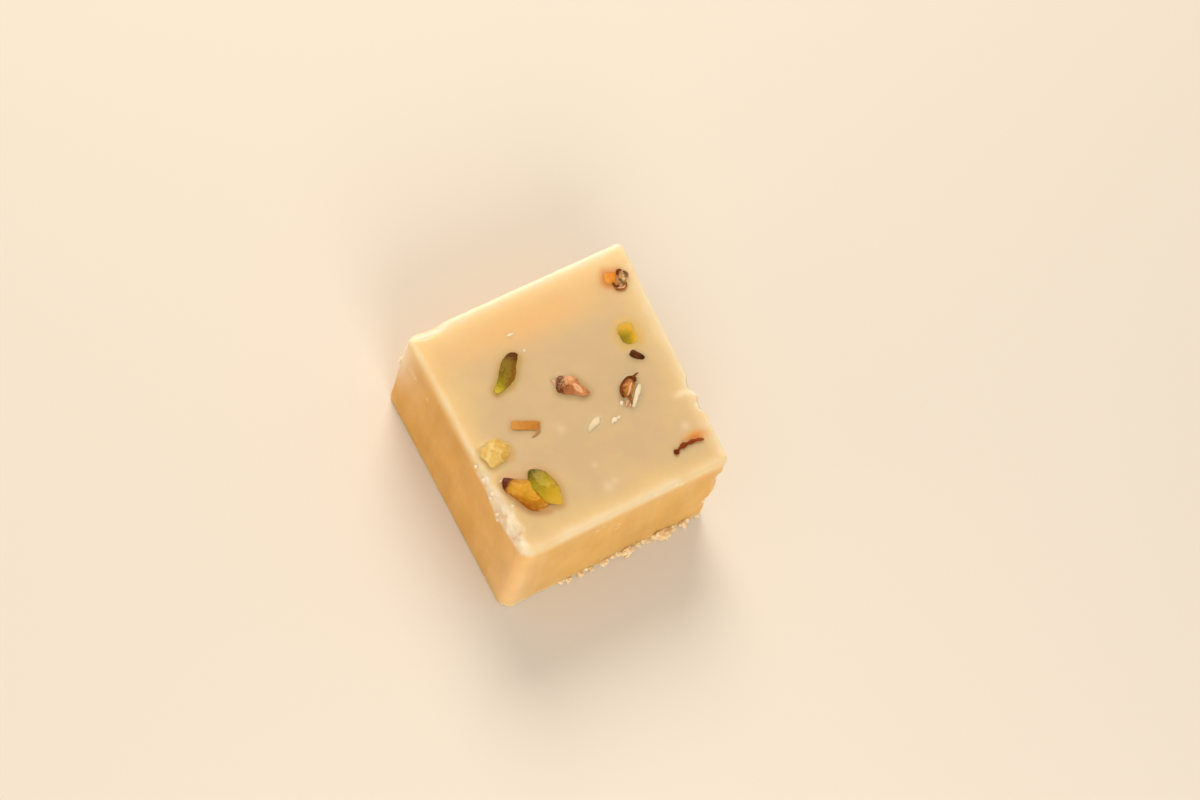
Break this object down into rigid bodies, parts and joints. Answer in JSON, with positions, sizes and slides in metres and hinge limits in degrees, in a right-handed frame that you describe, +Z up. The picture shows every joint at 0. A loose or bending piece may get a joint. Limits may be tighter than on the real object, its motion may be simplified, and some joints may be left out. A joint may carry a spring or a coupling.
{
  "type": "pistachio barfi",
  "caption": "Thick square piece of pale golden milk barfi with knife-cut walls, a smooth flat top and chopped pistachio and nut skins pressed into it.",
  "frame": {"origin": "middle of the flat base, on the plane that the piece rests on", "axes": "+Z up through the nut-topped face, -Y out of the front wall, -X out of the wall under the broken rim"},
  "size_m": [0.0492, 0.049, 0.0217],
  "materials": {
    "milk_sweet": "satin, slightly translucent milk sweet"
  },
  "bodies": {
    "root": {"barfi": "milk_sweet"}
  },
  "joints": []
}
